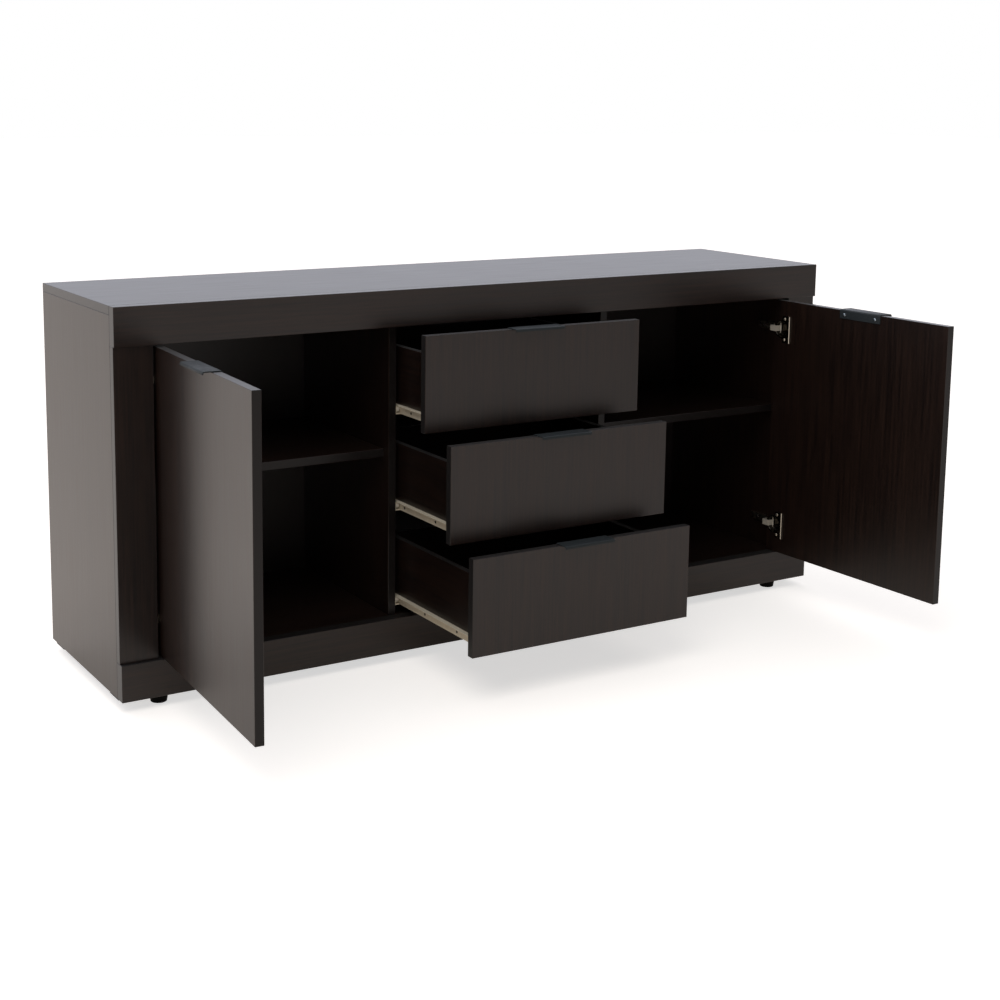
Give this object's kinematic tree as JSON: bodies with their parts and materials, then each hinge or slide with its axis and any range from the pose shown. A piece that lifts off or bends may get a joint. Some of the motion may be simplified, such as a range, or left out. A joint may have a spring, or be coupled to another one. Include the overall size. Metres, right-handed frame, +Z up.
{
  "type": "sideboard",
  "caption": "Low dark-wood sideboard with a framed front, a hinged cupboard at each end with a shelf, and drawers on roller runners in the middle, all with edge pulls.",
  "frame": {"origin": "on the floor under the middle of the cabinet, its doors and drawers left out", "axes": "+X along the front to the right, +Y from the front to the back, +Z up"},
  "size_m": [1.6, 0.8522, 0.725],
  "materials": {
    "dark_board": "satin melamine",
    "hardboard": "matt lacquered",
    "softwood": "raw sawn",
    "nickel_steel": "nickel plated",
    "cream_enamel": "satin enamel",
    "roller_plastic": "moulded",
    "dark_pull": "satin lacquer",
    "black_plastic": "moulded"
  },
  "bodies": {
    "cabinet": {"lid": "dark_board", "fascia": "dark_board", "plinth": "dark_board", "left_pilaster": "dark_board", "right_pilaster": "dark_board", "left_side": "dark_board", "right_side": "dark_board", "left_inner_wall": "dark_board", "right_inner_wall": "dark_board", "left_partition": "dark_board", "right_partition": "dark_board", "bottom_panel": "dark_board", "back_panel": "hardboard", "rear_rail": "dark_board", "left_shelf": "dark_board", "right_shelf": "dark_board", "shelf_pegs": "nickel_steel", "corner_blocks": "softwood", "feet": "black_plastic", "side_glides": "black_plastic", "hinge_arms": "nickel_steel", "hinge_plates": "nickel_steel", "runner_rails": "cream_enamel"},
    "left_door": {"left_door": "dark_board", "left_door_pull": "dark_pull", "left_hinge_cups": "nickel_steel", "left_hinge_pins": "nickel_steel"},
    "right_door": {"right_door": "dark_board", "right_door_pull": "dark_pull", "right_hinge_cups": "nickel_steel", "right_hinge_pins": "nickel_steel"},
    "upper_drawer": {"upper_drawer_front": "dark_board", "upper_drawer_sides": "dark_board", "upper_drawer_back": "dark_board", "upper_drawer_bottom": "hardboard", "upper_drawer_runners": "cream_enamel", "upper_drawer_pull": "dark_pull"},
    "upper_runner_rollers": {"upper_runner_rollers": "roller_plastic"},
    "upper_rail_rollers": {"upper_rail_rollers": "roller_plastic"},
    "middle_drawer": {"middle_drawer_front": "dark_board", "middle_drawer_sides": "dark_board", "middle_drawer_back": "dark_board", "middle_drawer_bottom": "hardboard", "middle_drawer_runners": "cream_enamel", "middle_drawer_pull": "dark_pull"},
    "middle_runner_rollers": {"middle_runner_rollers": "roller_plastic"},
    "middle_rail_rollers": {"middle_rail_rollers": "roller_plastic"},
    "lower_drawer": {"lower_drawer_front": "dark_board", "lower_drawer_sides": "dark_board", "lower_drawer_back": "dark_board", "lower_drawer_bottom": "hardboard", "lower_drawer_runners": "cream_enamel", "lower_drawer_pull": "dark_pull"},
    "lower_runner_rollers": {"lower_runner_rollers": "roller_plastic"},
    "lower_rail_rollers": {"lower_rail_rollers": "roller_plastic"}
  },
  "joints": [
    {"name": "left_door_swing", "type": "hinge", "parent": "cabinet", "child": "left_door", "pos_m": [-0.715, -0.184, 0.37025], "axis": [0, 0, -1], "range_deg": [-93, 7]},
    {"name": "right_door_swing", "type": "hinge", "parent": "cabinet", "child": "right_door", "pos_m": [0.715, -0.184, 0.37025], "axis": [0, 0, 1], "range_deg": [-92.1, 7.9]},
    {"name": "upper_drawer_slide", "type": "slide", "parent": "cabinet", "child": "upper_drawer", "axis": [0, -1, 0], "range_m": [-0.105, 0.205]},
    {"name": "upper_rail_roller_turn", "type": "hinge", "parent": "cabinet", "child": "upper_rail_rollers", "pos_m": [0, -0.164, 0.49217], "axis": [1, 0, 0], "range_deg": [-1004, 1959]},
    {"name": "upper_runner_roller_turn", "type": "hinge", "parent": "upper_drawer", "child": "upper_runner_rollers", "pos_m": [0, 0.061, 0.49057], "axis": [1, 0, 0], "range_deg": [-1004, 1959]},
    {"name": "middle_drawer_slide", "type": "slide", "parent": "cabinet", "child": "middle_drawer", "axis": [0, -1, 0], "range_m": [-0.20001, 0.10999]},
    {"name": "middle_rail_roller_turn", "type": "hinge", "parent": "cabinet", "child": "middle_rail_rollers", "pos_m": [0, -0.164, 0.30333], "axis": [1, 0, 0], "range_deg": [-1911, 1052]},
    {"name": "middle_runner_roller_turn", "type": "hinge", "parent": "middle_drawer", "child": "middle_runner_rollers", "pos_m": [0, -0.03401, 0.30173], "axis": [1, 0, 0], "range_deg": [-1911, 1052]},
    {"name": "lower_drawer_slide", "type": "slide", "parent": "cabinet", "child": "lower_drawer", "axis": [0, -1, 0], "range_m": [-0.28102, 0.02899]},
    {"name": "lower_rail_roller_turn", "type": "hinge", "parent": "cabinet", "child": "lower_rail_rollers", "pos_m": [0, -0.164, 0.1145], "axis": [1, 0, 0], "range_deg": [-2685, 278]},
    {"name": "lower_runner_roller_turn", "type": "hinge", "parent": "lower_drawer", "child": "lower_runner_rollers", "pos_m": [0, -0.11502, 0.1129], "axis": [1, 0, 0], "range_deg": [-2685, 278]}
  ],
  "couplings": [
    {"joint": "upper_rail_roller_turn", "follows": "upper_drawer_slide", "rad_per_m": 166.67},
    {"joint": "upper_runner_roller_turn", "follows": "upper_drawer_slide", "rad_per_m": 166.67},
    {"joint": "middle_rail_roller_turn", "follows": "middle_drawer_slide", "rad_per_m": 166.67},
    {"joint": "middle_runner_roller_turn", "follows": "middle_drawer_slide", "rad_per_m": 166.67},
    {"joint": "lower_rail_roller_turn", "follows": "lower_drawer_slide", "rad_per_m": 166.67},
    {"joint": "lower_runner_roller_turn", "follows": "lower_drawer_slide", "rad_per_m": 166.67}
  ]
}
